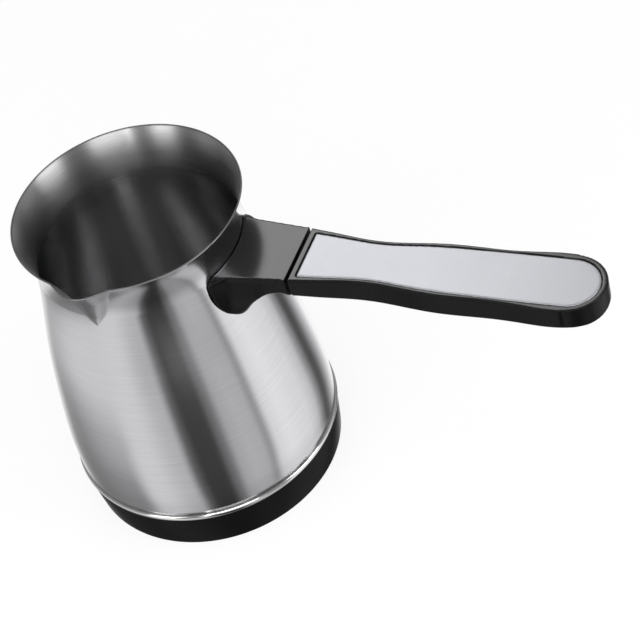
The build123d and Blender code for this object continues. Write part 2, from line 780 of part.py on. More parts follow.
def make_grip_shell():
    shell = grip_form()
    cavity = grip_form(grip_wall, hinge_block)
    cavity &= insert_outline(carrier_ledge, top_z - deep, ledge_z)
    recess = insert_outline(0, ledge_z, top_z + 1)
    shell -= cavity + recess
    inside = grip_form(grip_wall / 2, hinge_block / 2)
    seat_x = hinge_x + nose_offset + leaf_length - leaf_seat
    rib = block(seat_x, seat_x + leaf_seat, -leaf_half_width - 1, leaf_half_width + 1, top_z - deep, leaf_z)
    shell += rib & inside
    for along in grip_screw_places:
        x = grip_face_x + along
        shell += post(grip_boss_radius, top_z - deep, grip_boss_z(), x) & inside
        shell -= post(small_screw["shank"] + screw_play, top_z - deep, top_z, x)
        shell -= post(small_screw["head"] + screw_play, top_z - deep, grip_boss_z() - grip_boss_floor, x)
    slot_half = hub_half_width + washer_thickness + 2 * seat
    shell -= tongue_slot(slot_half)
    notch = cross_rod(hinge_pin_radius + seat / 2, -hinge_pin_half - seat, hinge_pin_half + seat, hinge_x, hinge_z)
    width = hinge_pin_radius + seat / 2
    notch += block(hinge_x - width, hinge_x + width, -hinge_pin_half - seat, hinge_pin_half + seat,
                   hinge_z, ledge_z + 1)
    shell -= notch
    corner = block(grip_face_x - 1, hinge_x, -wide, wide, hinge_z - seam_depth, hinge_z)
    shell -= corner - cross_rod(knuckle_radius, -wide - 1, wide + 1, hinge_x, hinge_z)
    shell -= block(hinge_x - nose_gap, button_x, -leaf_half_width - play, leaf_half_width + play,
                   hinge_z + 1, ledge_z + 1)
    shell -= button_hole(button_gap, top_z - deep, ledge_z)
    return shell


def button_hole(gap, z0, z1):
    """Upright prism of the button's plan with rounded corners."""
    plan = RectangleRounded(2 * (button_half_length + gap), 2 * (button_half_width + gap), button_corner + gap)
    return Pos(button_x, 0, z0) * extrude(plan, z1 - z0, dir=(0, 0, 1))


def grip_depth_at(along):
    """Whole height of the grip at a distance from its face, between two stations."""
    stations = ((0.0, seam_half, seam_side, seam_depth),) + grip_stations
    for (a, _, _, first), (b, _, _, second) in zip(stations, stations[1:]):
        if a <= along <= b:
            return first + (second - first) * (along - a) / (b - a)
    return stations[-1][3]


def make_release_button():
    underside = top_z - grip_depth_at(button_x - grip_face_x)
    flange_z = underside + grip_wall + button_flange_lift
    cap = button_hole(0, underside + button_sunk - button_travel, flange_z)
    cap = fillet(cap.edges().group_by(Axis.Z)[0], button_round)
    cap += button_hole(button_flange, flange_z, flange_z + button_flange_height)
    return cap + block(button_x - button_stem, button_x + button_stem, -button_stem, button_stem,
                       flange_z, leaf_z - seat)


def make_latch_spring():
    """Flat spring strip with its free end bent down into the hub's notch."""
    nose_x = hinge_x + nose_offset
    high = leaf_z + leaf_thickness
    strip = block(nose_x, nose_x + leaf_length, -leaf_half_width, leaf_half_width, leaf_z, high)
    strip += block(nose_x, nose_x + leaf_thickness, -leaf_half_width, leaf_half_width, nose_floor(), high)
    return strip


def make_grip_carrier():
    """Plate under the silver insert. It holds the pin and the leaf down and takes the screws."""
    plate = insert_outline(insert_gap, ledge_z, ledge_z + carrier_thickness)
    window = block(hinge_x + nose_offset - 1, button_x + button_stem + 1, -leaf_half_width - play,
                   leaf_half_width + play, ledge_z - 1, top_z)
    plate -= window
    low = hinge_z + hinge_pin_radius
    inner = hub_half_width + washer_thickness + 4 * seat
    for side in (1, -1):
        near, far = sorted((side * inner, side * (hinge_pin_half - 0.5)))
        plate += block(hinge_x - carrier_rib_half, hinge_x + carrier_rib_half, near, far, low, ledge_z)
    seat_x = hinge_x + nose_offset + leaf_length - leaf_seat
    plate += block(seat_x, seat_x + leaf_seat, -leaf_half_width, leaf_half_width, leaf_z + leaf_thickness, ledge_z)
    for along in grip_screw_places:
        x = grip_face_x + along
        plate += post(grip_boss_radius, grip_boss_z(), ledge_z, x)
        plate -= post(small_screw["shank"] + seat, 0, ledge_z + 0.6, x)
    return plate


def make_grip_insert():
    low = ledge_z + carrier_thickness
    return insert_outline(insert_gap, low, top_z)


def make_grip_screws():
    seat_z = grip_boss_z() - grip_boss_floor
    length = ledge_z - seat_z
    return [screw(seat_z, length, grip_face_x + along) for along in grip_screw_places]


def make_hinge_pin():
    pin = cross_rod(hinge_pin_radius, -hinge_pin_half, hinge_pin_half, hinge_x, hinge_z)
    return chamfer(pin.edges().filter_by(GeomType.CIRCLE), 0.3)


def make_hinge_washers():
    washers = []
    for side in (1, -1):
        near = side * (hub_half_width + seat)
        far = side * (hub_half_width + seat + washer_thickness)
        low, high = sorted((near, far))
        washer = cross_rod(hub_radius - 0.2, low, high, hinge_x, hinge_z)
        washers.append(washer - cross_rod(hinge_pin_radius + seat, -wide, wide, hinge_x, hinge_z))
    return washers


nodes = {
    "pot_body": make_pot_body,
    "pot_floor": make_pot_floor,
    "floor_studs": make_floor_studs,
    "trim_ring": make_trim_ring,
    "base_shell": make_base_shell,
    "shell_screws": make_shell_screws,
    "base_gasket": make_base_gasket,
    "base_cover": make_base_cover,
    "cover_screws": make_cover_screws,
    "heater_plate": make_heater_plate,
    "heating_element": make_heating_element,
    "element_pins": make_element_pins,
    "terminal_clips": make_terminal_clips,
    "controller_body": make_controller_body,
    "contact_rings": make_contact_rings,
    "centre_contact": make_centre_contact,
    "controller_screws": make_controller_screws,
    "bimetal_discs": make_bimetal_discs,
    "push_rods": make_push_rods,
    "socket_seal": make_socket_seal,
    "weld_plate": make_weld_plate,
    "handle_bracket": make_handle_bracket,
    "bracket_screws": make_bracket_screws,
    "hinge_pin": make_hinge_pin,
    "hinge_washers": make_hinge_washers,
    "grip_shell": make_grip_shell,
    "grip_carrier": make_grip_carrier,
    "grip_insert": make_grip_insert,
    "grip_screws": make_grip_screws,
    "latch_spring": make_latch_spring,
    "release_button": make_release_button,
}


def main():
    os.makedirs("parts", exist_ok=True)
    for name, make in nodes.items():
        made = make()
        solids = []
        for piece in made if isinstance(made, list) else [made]:
            solids += piece.solids()
        shape = solids[0] if len(solids) == 1 else Compound(children=solids)
        shape.label = name
        export_step(shape, f"parts/{name}.step")
        print(name, len(solids), round(sum(solid.volume for solid in solids), 1))


main()
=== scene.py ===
import math
import bmesh
import bpy
import numpy as np
from mathutils import Matrix


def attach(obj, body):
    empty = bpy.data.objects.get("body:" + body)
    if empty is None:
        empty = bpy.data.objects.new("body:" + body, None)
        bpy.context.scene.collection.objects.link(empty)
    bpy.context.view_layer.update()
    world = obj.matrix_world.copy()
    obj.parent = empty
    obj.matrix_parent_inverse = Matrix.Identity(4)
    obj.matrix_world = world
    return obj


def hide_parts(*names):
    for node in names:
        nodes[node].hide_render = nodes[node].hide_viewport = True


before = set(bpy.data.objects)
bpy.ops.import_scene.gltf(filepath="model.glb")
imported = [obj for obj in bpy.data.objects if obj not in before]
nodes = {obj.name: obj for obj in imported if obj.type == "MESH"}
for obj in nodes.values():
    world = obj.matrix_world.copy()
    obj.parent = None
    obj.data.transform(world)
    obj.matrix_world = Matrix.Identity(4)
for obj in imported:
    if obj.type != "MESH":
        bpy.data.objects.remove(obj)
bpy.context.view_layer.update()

mm = 0.001
print("frame loaded:", len(nodes), "nodes")


# Mesh helpers. Sizes are in millimetres, and only the welding distances are in metres.

welding = {"surface": 2e-6, "thinEdge": 1e-7, "solid": 1e-6}
# Faces whose normal sits lower take the dull copy of a black: painted shade on the sides.
lookUp = 0.9  # height of a face's normal from which the face looks up


def addPiece(name, points, materials, body, sharp=None, slotOfRow=None):
    # points is a grid (rows, columns, 3) that closes both ways, like a ring. Each cell of
    # the grid is one quad between its row and the next and its column and the next.
    rows, columns = points.shape[:2]
    i = np.arange(rows)[:, None]
    j = np.arange(columns)[None, :]
    nextRow, nextColumn = (i + 1) % rows, (j + 1) % columns
    quads = np.stack([i * columns + j, i * columns + nextColumn,
                      nextRow * columns + nextColumn, nextRow * columns + j], axis=-1).reshape(-1, 4)
    mesh = bpy.data.meshes.new(name)
    mesh.from_pydata(points.reshape(-1, 3) * mm, [], quads)
    if slotOfRow is not None:
        mesh.polygons.foreach_set("material_index", np.repeat(slotOfRow, columns).astype(np.int32))
    closeMesh(mesh)
    return placePiece(name, mesh, materials, body, sharp)


def closeMesh(mesh):
    # Fuses doubled points and turns the faces outwards.
    work = bmesh.new()
    work.from_mesh(mesh)
    bmesh.ops.remove_doubles(work, verts=work.verts, dist=welding["surface"])
    bmesh.ops.dissolve_degenerate(work, dist=welding["thinEdge"], edges=work.edges)
    bmesh.ops.recalc_face_normals(work, faces=work.faces)
    if work.calc_volume(signed=True) < 0:
        bmesh.ops.reverse_faces(work, faces=work.faces)
    work.to_mesh(mesh)
    work.free()


def placePiece(name, mesh, materials, body, sharp=None):
    # Shades a mesh smooth, up to the sharp angle in degrees, and lets it ride on a body.
    mesh.polygons.foreach_set("use_smooth", np.ones(len(mesh.polygons), dtype=bool))
    if sharp:
        mesh.set_sharp_from_angle(angle=math.radians(sharp))
    for material in materials:
        mesh.materials.append(material)
    piece = bpy.data.objects.new(name, mesh)
    bpy.context.scene.collection.objects.link(piece)
    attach(piece, body)
    return piece


def mergedCopy(node):
    # A copy of a solid's mesh whose loose triangles are joined.
    mesh = nodes[node].data.copy()
    mesh.materials.clear()
    work = bmesh.new()
    work.from_mesh(mesh)
    bmesh.ops.remove_doubles(work, verts=work.verts, dist=welding["solid"])
    work.to_mesh(mesh)
    work.free()
    return mesh


def refine(name, node, material, body, sharp):
    # A smooth copy of a solid whose flat faces stay flat.
    piece = placePiece(name, mergedCopy(node), [material], body, sharp)
    flats = piece.modifiers.new("flatFaces", "WEIGHTED_NORMAL")
    flats.mode = "FACE_AREA_WITH_ANGLE"
    flats.keep_sharp = True
    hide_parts(node)


def evenCopy(name, node, cell):
    # A solid's surface rebuilt from even cells.
    rough = bpy.data.objects.new(name + "Rough", mergedCopy(node))
    bpy.context.scene.collection.objects.link(rough)
    cells = rough.modifiers.new("cells", "REMESH")
    cells.mode = "VOXEL"
    cells.voxel_size = cell * mm
    even = bpy.data.meshes.new_from_object(rough.evaluated_get(bpy.context.evaluated_depsgraph_get()))
    bpy.data.objects.remove(rough)
    even.name = name
    even.materials.clear()
    return even


def neighbourMean(points, ends):
    # For each point, the mean of the points at the other ends of its edges.
    count = len(points)
    first, second = ends[0::2], ends[1::2]
    total = np.stack([np.bincount(first, points[second, axis], count)
                      + np.bincount(second, points[first, axis], count) for axis in range(3)], axis=-1)
    return total / np.bincount(ends, minlength=count)[:, None]


def soften(name, node, materials, body, slotName, cell, rounds, hardFrom=math.inf,
           lowRounds=0, lowFrom=0.0, lowBlend=3.0, swell=0.0, swellEnd=3.0, swellBlend=8.0):
    # A moulded copy of a solid. It is cut into even cells, then each point moves halfway to
    # the mean of its neighbours again and again, which rounds the edges. Past hardFrom along
    # X it stays, and only what lies below lowFrom takes part in the low rounds. Swell is a
    # share of the width: it widens the low part most at its middle height and fades out
    # towards hardFrom. Of two materials, the first, with raised shine, is on the faces that look up
    # and the second, a dull copy of the same plastic, on all other faces: painted sheen on top and painted
    # shade on the sides.
    even = evenCopy(name, node, cell)
    points = np.empty(len(even.vertices) * 3)
    even.vertices.foreach_get("co", points)
    points = points.reshape(-1, 3)
    ends = np.empty(len(even.edges) * 2, dtype=np.int32)
    even.edges.foreach_get("vertices", ends)
    share = 0.5 * np.clip((hardFrom * mm - points[:, :1]) / mm, 0, 1)
    lowShare = share * np.clip((lowFrom * mm - points[:, 2:]) / (lowBlend * mm), 0, 1)
    for weight in [lowShare] * lowRounds + [share] * rounds:
        points = points + weight * (neighbourMean(points, ends) - points)
    if swell:
        down = np.clip((lowFrom * mm - points[:, 2]) / (lowFrom * mm - points[:, 2].min()), 0, 1)
        near = np.clip((hardFrom * mm - swellEnd * mm - points[:, 0]) / (swellBlend * mm), 0, 1)
        points[:, 1] *= 1 + swell * np.sin(np.pi * down) * near
    even.vertices.foreach_set("co", points.ravel())
    # Faces that look up take the first material, with raised shine, and the rest the dull copy: painted sheen
    # on top, painted shade on the sides.
    if len(materials) > 1:
        normals = np.empty(len(even.polygons) * 3)
        even.polygons.foreach_get("normal", normals)
        even.polygons.foreach_set("material_index", (normals[2::3] < lookUp).astype(np.int32))
    piece = placePiece(name, even, materials, body)
    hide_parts(node)
    print(name, "softened:", len(even.polygons), "faces")


def turned(profile, step=1.5):
    # A profile of (radius, height) pairs turned about the pot's axis, in steps of degrees.
    angles = np.radians(np.arange(0, 360, step))
    radius, height = profile[:, 0][:, None], profile[:, 1][:, None]
    flat = np.ones_like(angles)[None, :]
    return np.stack([radius * np.cos(angles), radius * np.sin(angles), height * flat], axis=-1)


def corner(centre, radius, start, end, count):
    # Points on an arc, from one angle to another in degrees.
    turn = np.radians(np.linspace(start, end, count))
    return np.stack([centre[0] + radius * np.cos(turn), centre[1] + radius * np.sin(turn)], axis=-1)


# Shader helpers

class Value:
    # One output socket: an operator on it adds the Math node that works the result out.
    def __init__(self, graph, socket):
        self.graph = graph
        self.socket = socket

    def combine(self, operation, first, second):
        return self.graph.add("ShaderNodeMath", {"operation": operation}, {0: first, 1: second})[0]

    def __add__(self, other):
        return self.combine("ADD", self, other)

    def __radd__(self, other):
        return self.combine("ADD", other, self)

    def __sub__(self, other):
        return self.combine("SUBTRACT", self, other)

    def __rsub__(self, other):
        return self.combine("SUBTRACT", other, self)

    def __mul__(self, other):
        return self.combine("MULTIPLY", self, other)

    def __rmul__(self, other):
        return self.combine("MULTIPLY", other, self)

    def __truediv__(self, other):
        return self.combine("DIVIDE", self, other)

    def __rtruediv__(self, other):
        return self.combine("DIVIDE", other, self)


class Outputs:
    # The outputs of one node, by name or number.
    def __init__(self, graph, node):
        self.graph = graph
        self.node = node

    def __getitem__(self, key):
        return Value(self.graph, self.node.outputs[key])


class Graph:
    def __init__(self, tree):
        self.tree = tree
        tree.nodes.clear()

    def add(self, kind, settings=None, inputs=None):
        # Adds a node: its settings first, then the values or links of its sockets.
        node = self.tree.nodes.new(kind)
        for key, value in (settings or {}).items():
            if key == "stops":
                self.setStops(node.color_ramp, value)
            elif key == "blend":
                node.color_ramp.interpolation = value
            else:
                setattr(node, key, value)
        for key, value in (inputs or {}).items():
            self.feed(node.inputs[key], value)
        return Outputs(self, node)

    def setStops(self, ramp, stops):
        # A ramp starts with two stops: one goes, and the other becomes the first of the new.
        ramp.elements.remove(ramp.elements[0])
        for n, (place, level) in enumerate(stops):
            stop = ramp.elements[0] if n == 0 else ramp.elements.new(place)
            stop.position = place
            stop.color = (level, level, level, 1)

    def feed(self, socket, value):
        # Links a value, or sets a constant. A colour gets its fourth number here.
        if isinstance(value, Value):
            self.tree.links.new(value.socket, socket)
        elif isinstance(value, tuple) and socket.type == "RGBA":
            socket.default_value = (*value, 1)
        else:
            socket.default_value = value

    def noise(self, coords, scale, detail=2.0, rough=0.5, stretch=None):
        # Noise on coordinates in metres, stretched along an axis where asked. 0 to 1.
        if stretch:
            coords = self.add("ShaderNodeMapping", None, {"Vector": coords, "Scale": stretch})[0]
        return self.add("ShaderNodeTexNoise", None,
                        {"Vector": coords, "Scale": scale, "Detail": detail, "Roughness": rough})["Fac"]

    def blend(self, factor, first, second):
        # Colour between two colours.
        return self.add("ShaderNodeMix", {"data_type": "RGBA"}, {0: factor, 6: first, 7: second})[2]

    def remap(self, value, low, high, newLow, newHigh):
        # A value from one range into another, held at its ends.
        inputs = {"Value": value, "From Min": low, "From Max": high, "To Min": newLow, "To Max": newHigh}
        return self.add("ShaderNodeMapRange", {"clamp": True}, inputs)[0]


def newMaterial(name):
    material = bpy.data.materials.new(name)
    material.use_nodes = True
    graph = Graph(material.node_tree)
    coords = graph.add("ShaderNodeTexCoord")["Object"]
    return material, graph, coords


def closeMaterial(graph, inputs, height, distance, strength):
    # The shader, and the bump that feeds it.
    bump = graph.add("ShaderNodeBump", None, {"Height": height, "Distance": distance, "Strength": strength})
    shader = graph.add("ShaderNodeBsdfPrincipled", None, dict(inputs, Normal=bump["Normal"]))
    graph.add("ShaderNodeOutputMaterial", None, {"Surface": shader["BSDF"]})


# Finishes. Scales are per metre. Depths and the heights of the change in roughness are in metres.

spunRings = {
    "scale": 3200.0, "stretch": (0.012, 0.012, 1.0),
    "brokenScale": 1120.0, "brokenStretch": (0.05, 0.05, 1.0),
    "cloudScale": 28.0, "toneShares": (0.55, 0.25, 0.2), "contrast": (0.35, 0.65), "swing": 0.05,
    "bumpShares": (0.6, 0.4), "bump": 0.5, "smoothUpTo": 0.106, "roughFrom": 0.116,
}
spunSteels = {
    "outerSteel": {"bright": (0.70, 0.697, 0.718), "dull": (0.64, 0.637, 0.656), "rough": 0.155,
                   "brushing": 0.75, "grooveDepth": 0.0000025},
    # innerSteel's colours are darker than outerSteel's for the same sheet: painted shade inside the pot. Its
    # rougher ringed finish, smoother below the neck, is the steel's own.
    "innerSteel": {"bright": (0.52, 0.52, 0.525), "dull": (0.42, 0.42, 0.425), "rough": 0.32,
                   "brushing": 0.82, "grooveDepth": 0.000002, "roughLow": 0.21},
}


def makeSpunSteel(name, bright, dull, rough, brushing, grooveDepth, roughLow=None):
    # Fine rings at constant height: noise squeezed along the axis and drawn out round the pot.
    # With roughLow the finish grows smoother below the neck.
    s = spunRings
    material, graph, coords = newMaterial(name)
    rings = graph.noise(coords, s["scale"], detail=3.0, rough=0.6, stretch=s["stretch"])
    broken = graph.noise(coords, s["brokenScale"], stretch=s["brokenStretch"])
    clouds = graph.noise(coords, s["cloudScale"])
    ringShare, brokenShare, cloudShare = s["toneShares"]
    tone = rings * ringShare + broken * brokenShare + clouds * cloudShare
    ringDepth, brokenDepth = s["bumpShares"]
    colour = graph.blend(graph.remap(tone, *s["contrast"], 0.0, 1.0), dull, bright)
    if roughLow:
        height = graph.add("ShaderNodeSeparateXYZ", None, {"Vector": coords})["Z"]
        rough = graph.remap(height, s["smoothUpTo"], s["roughFrom"], roughLow, rough)
    roughness = rough + (tone - 0.5) * s["swing"]
    closeMaterial(graph, {"Base Color": colour, "Metallic": 1.0, "Roughness": roughness,
                          "Anisotropic": brushing, "Anisotropic Rotation": 0.25},
                  rings * ringDepth + broken * brokenDepth, grooveDepth, s["bump"])
    return material


plainMetals = {
    "beadSteel": {"light": (0.86, 0.86, 0.85), "dark": (0.74, 0.74, 0.74), "rough": 0.10, "depth": 0.000002},
    # rimSteel is the wall's steel made nearly black: painted shade along the rolled lip.
    "rimSteel": {"light": (0.21, 0.21, 0.21), "dark": (0.16, 0.16, 0.16), "rough": 0.36, "depth": 0.000004},
    "zincSteel": {"light": (0.62, 0.62, 0.62), "dark": (0.42, 0.42, 0.43), "rough": 0.32},
    "springSteel": {"light": (0.40, 0.40, 0.43), "dark": (0.26, 0.26, 0.29), "rough": 0.28,
                    "grain": (0.1, 1, 1)},
    "castAluminium": {"light": (0.70, 0.70, 0.71), "dark": (0.52, 0.52, 0.53), "rough": 0.45,
                      "scale": 500.0, "depth": 0.00004},
    "sheathMetal": {"light": (0.50, 0.49, 0.47), "dark": (0.36, 0.35, 0.34), "rough": 0.42},
    "brass": {"light": (0.80, 0.62, 0.30), "dark": (0.62, 0.45, 0.20), "rough": 0.26},
    "bimetal": {"light": (0.66, 0.58, 0.50), "dark": (0.50, 0.44, 0.38), "rough": 0.30},
}


def makePlainMetal(name, light, dark, rough, scale=220.0, depth=0.00001, grain=(1, 1, 1),
                   cloudShare=0.5, cloudScale=0.12, swing=0.1, bump=0.4):
    # Bare metal with a faint grain and a cloudy tone. The cloud scale is a share of the grain's.
    material, graph, coords = newMaterial(name)
    grains = graph.noise(coords, scale, detail=3.0, rough=0.6, stretch=grain)
    clouds = graph.noise(coords, scale * cloudScale)
    colour = graph.blend(grains * (1 - cloudShare) + clouds * cloudShare, dark, light)
    roughness = rough + (clouds - 0.5) * swing
    closeMaterial(graph, {"Base Color": colour, "Metallic": 1.0, "Roughness": roughness}, grains, depth, bump)
    return material


plastics = {
    # glossBlack and sideBlack are one gloss black plastic: a copy with raised shine for faces that look up
    # (painted sheen) and one with almost none for the sides (painted shade).
    "glossBlack": {"tint": (0.004, 0.004, 0.0045), "rough": 0.20, "depth": 0.000003, "shine": 0.85},
    "sideBlack": {"tint": (0.005, 0.005, 0.0055), "rough": 0.27, "depth": 0.000004, "shine": 0.10},
    "baseBlack": {"tint": (0.006, 0.006, 0.0065), "rough": 0.28, "depth": 0.000003, "shine": 0.05},
    "satinBlack": {"tint": (0.020, 0.020, 0.021), "rough": 0.42, "depth": 0.00002, "scale": 2600.0},
    "controlBlack": {"tint": (0.035, 0.035, 0.037), "rough": 0.38, "depth": 0.00001, "scale": 1800.0},
    "ceramicWhite": {"tint": (0.86, 0.85, 0.80), "rough": 0.5, "depth": 0.00001, "scale": 1400.0},
    "siliconeWhite": {"tint": (0.78, 0.77, 0.73), "rough": 0.48, "depth": 0.00001, "scale": 900.0},
}


def makePlastic(name, tint, rough, depth, scale=1500.0, shine=0.5,
                waveScale=90.0, shade=0.7, swing=0.06, bump=0.5):
    # Moulded plastic: a fine spark-eroded grain and slight waves in the gloss.
    material, graph, coords = newMaterial(name)
    grain = graph.noise(coords, scale, rough=0.55)
    waves = graph.noise(coords, waveScale)
    colour = graph.blend(waves, tuple(c * shade for c in tint), tint)
    closeMaterial(graph, {"Base Color": colour, "Roughness": rough + (waves - 0.5) * swing,
                          "Specular IOR Level": shine, "IOR": 1.5},
                  grain, depth, bump)
    return material


silver = {
    "dull": (0.46, 0.47, 0.50), "bright": (0.60, 0.605, 0.635), "metallic": 0.80,
    "rough": 0.40, "swing": 0.12, "coat": 0.35, "coatRough": 0.08,
    "flakeScale": 6500.0, "flakeShare": 0.6, "flakeDepth": 0.000004, "bump": 0.3,
    "driftScale": 40.0, "driftShare": 0.4,
}


def makeSilverLacquer():
    # Metallic lacquer: tiny flakes scatter the tone under a smooth clear coat.
    s = silver
    material, graph, coords = newMaterial("silverLacquer")
    flakes = graph.add("ShaderNodeTexVoronoi", {"feature": "F1"},
                       {"Vector": coords, "Scale": s["flakeScale"]})["Color"]
    glint = graph.add("ShaderNodeSeparateColor", None, {"Color": flakes})[0]
    drift = graph.noise(coords, s["driftScale"])
    colour = graph.blend(glint * s["flakeShare"] + drift * s["driftShare"], s["dull"], s["bright"])
    closeMaterial(graph, {"Base Color": colour, "Metallic": s["metallic"],
                          "Roughness": s["rough"] + (glint - 0.5) * s["swing"],
                          "Coat Weight": s["coat"], "Coat Roughness": s["coatRough"]},
                  glint, s["flakeDepth"], s["bump"])
    return material


finishes = {}
for make, looks in ((makeSpunSteel, spunSteels), (makePlainMetal, plainMetals), (makePlastic, plastics)):
    for name, look in looks.items():
        finishes[name] = make(name, **look)
finishes["silverLacquer"] = makeSilverLacquer()
print("finishes made:", len(finishes))


# Pot wall. Sizes are in millimetres, angles in degrees.

potWall = {
    "footZ": 18.75, "straight": 5.3, "neckZ": 113.05, "rimZ": 130.05, "sheet": 0.6,
    "footRadius": 51.2, "neckRadius": 38.3, "rimRadius": 42.0, "flarePower": 2.25,
    "belly": ((0.29, 0.84), (0.63, 0.48), (0.88, 0.12)),  # share of the rise, share of the taper left
    "neckSlope": -0.08,
    "spoutReach": 4.4, "spoutHalf": 20.0, "spoutDepth": 21.0, "spoutSpread": 0.5, "spoutRise": 1.1,
    "spoutPoint": 0.06, "spoutDip": 0.45, "spoutFall": 3.0, "foldSoftness": 0.12, "foldStart": 6.0,
    "fineHalf": 34, "fineStep": 0.32, "coarseStep": 1.6, "rowsBelow": 48, "rowsAbove": 62,
    "rowGap": 1.0, "lipFrom": 20, "lipPoints": 6,
}


def splineThrough(x, y, where, startSlope, endSlope):
    # Cubic spline: the slopes at the knots solve for an even bend, with both end slopes given.
    x, y = np.asarray(x, float), np.asarray(y, float)
    step = np.diff(x)
    slope = np.diff(y) / step
    count = len(x)
    matrix, right = np.eye(count), np.zeros(count)
    right[0], right[-1] = startSlope, endSlope
    inner = np.arange(1, count - 1)
    matrix[inner, inner - 1] = step[1:]
    matrix[inner, inner] = 2 * (step[:-1] + step[1:])
    matrix[inner, inner + 1] = step[:-1]
    right[inner] = 3 * (step[1:] * slope[:-1] + step[:-1] * slope[1:])
    bend = np.linalg.solve(matrix, right)
    n = np.clip(np.searchsorted(x, where) - 1, 0, count - 2)
    t = (where - x[n]) / step[n]
    return ((2 * t ** 3 - 3 * t ** 2 + 1) * y[n] + (t ** 3 - 2 * t ** 2 + t) * step[n] * bend[n]
            + (3 * t ** 2 - 2 * t ** 3) * y[n + 1] + (t ** 3 - t ** 2) * step[n] * bend[n + 1])


def wallRadius(z):
    # Outer radius of the wall without the spout: straight foot, spline to the neck, then a
    # power curve to the rim.
    p = potWall
    low = p["footZ"] + p["straight"]
    rise = p["neckZ"] - low
    taper = p["footRadius"] - p["neckRadius"]
    knotZ = [low] + [low + rise * up for up, _ in p["belly"]] + [p["neckZ"]]
    knotR = [p["footRadius"]] + [p["neckRadius"] + taper * left for _, left in p["belly"]] + [p["neckRadius"]]
    side = splineThrough(knotZ, knotR, np.clip(z, low, p["neckZ"]), 0.0, p["neckSlope"])
    share = np.clip((z - p["neckZ"]) / (p["rimZ"] - p["neckZ"]), 0, 1)
    flare = p["neckRadius"] + (p["rimRadius"] - p["neckRadius"]) * share ** p["flarePower"]
    return np.where(z > p["neckZ"], flare, side)


def spoutRadius(z, turn):
    # The larger of the wall and the spout, with a soft change between them. The spout is a
    # cosine swell across its width, which narrows to a point below the rim.
    p = potWall
    share = np.clip(1 - (p["rimZ"] - z) / p["spoutDepth"], 1e-4, 1)
    half = np.radians(p["spoutHalf"]) * np.maximum(share ** p["spoutSpread"], p["spoutPoint"])
    swell = p["spoutReach"] * share ** p["spoutRise"] + p["spoutDip"]
    across = np.abs(turn) / half
    wall = wallRadius(z)
    spout = wall - p["spoutDip"] + swell * (1 + np.cos(np.pi * np.clip(across, 0, 1))) / 2
    spout = spout - (np.clip(across, 1, 9) - 1) * p["spoutFall"]
    soft = p["foldSoftness"] * np.clip(share * p["foldStart"], 0.001, 1)
    larger = (wall + spout + np.sqrt((wall - spout) ** 2 + soft ** 2)) / 2
    return larger - soft ** 2 / 4 / (p["spoutDip"] + soft)


def makePotWall():
    # Outside from the foot to the rim, half a circle over the lip, and inside back to the foot.
    p = potWall
    fine = np.arange(-p["fineHalf"], p["fineHalf"], p["fineStep"])
    coarse = np.arange(p["fineHalf"], 360 - p["fineHalf"], p["coarseStep"])
    turn = np.radians(np.concatenate([fine, coarse]))
    turn = np.where(turn > math.pi, turn - 2 * math.pi, turn)
    angles = turn - math.pi / 2
    half = p["sheet"] / 2
    foldZ = p["rimZ"] - p["spoutDepth"] - p["rowGap"]
    upZ = np.concatenate([np.linspace(p["footZ"], foldZ - p["rowGap"], p["rowsBelow"]),
                          np.linspace(foldZ, p["rimZ"] - half, p["rowsAbove"])])
    outside = spoutRadius(upZ[:, None], turn[None, :])
    inside = outside[::-1] - p["sheet"]
    lip = np.radians(np.linspace(p["lipFrom"], 180 - p["lipFrom"], p["lipPoints"]))[:, None]
    edge = outside[-1:] - half + half * np.cos(lip)
    radius = np.concatenate([outside, edge, inside])
    height = np.concatenate([upZ, p["rimZ"] - half + half * np.sin(lip[:, 0]), upZ[::-1]])[:, None]
    points = np.stack([radius * np.cos(angles), radius * np.sin(angles), height + 0 * radius], axis=-1)
    # The lip takes a steel painted nearly black, and the inside a darker copy of the outer steel: painted
    # shade on both.
    materials = [finishes[key] for key in ("outerSteel", "innerSteel", "rimSteel")]
    slotOfRow = np.concatenate([np.zeros(len(upZ)), np.full(p["lipPoints"], 2), np.ones(len(upZ))])
    piece = addPiece("potWall", points, materials, "pot", slotOfRow=slotOfRow)
    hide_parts("pot_body")


makePotWall()
print("pot wall made")


# Bead and black base

beadRing = {"low": 16.0, "high": 18.5, "shoulder": 51.1, "proud": 51.95, "inner": 49.9,
            "points": 17, "sharp": 50}
blackBase = {"height": 16.0, "foot": 49.7, "top": 51.5, "wall": 2.0, "ledge": 4.1, "ledgeHeight": 2.0,
             "edge": 0.8, "topEdge": 0.35, "footArc": (-90, -3, 8), "topArc": (0, 90, 5), "sharp": 40}


def makeBead():
    # Half an ellipse in section, flat at the back.
    b = beadRing
    turn = np.radians(np.linspace(-90, 90, b["points"]))
    middle = (b["low"] + b["high"]) / 2
    arc = np.stack([b["shoulder"] + (b["proud"] - b["shoulder"]) * np.cos(turn),
                    middle + (b["high"] - b["low"]) / 2 * np.sin(turn)], axis=-1)
    profile = np.concatenate([[[b["inner"], b["low"]]], arc, [[b["inner"], b["high"]]]])
    piece = addPiece("beadRing", turned(profile), [finishes["beadSteel"]], "pot", b["sharp"])
    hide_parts("trim_ring")


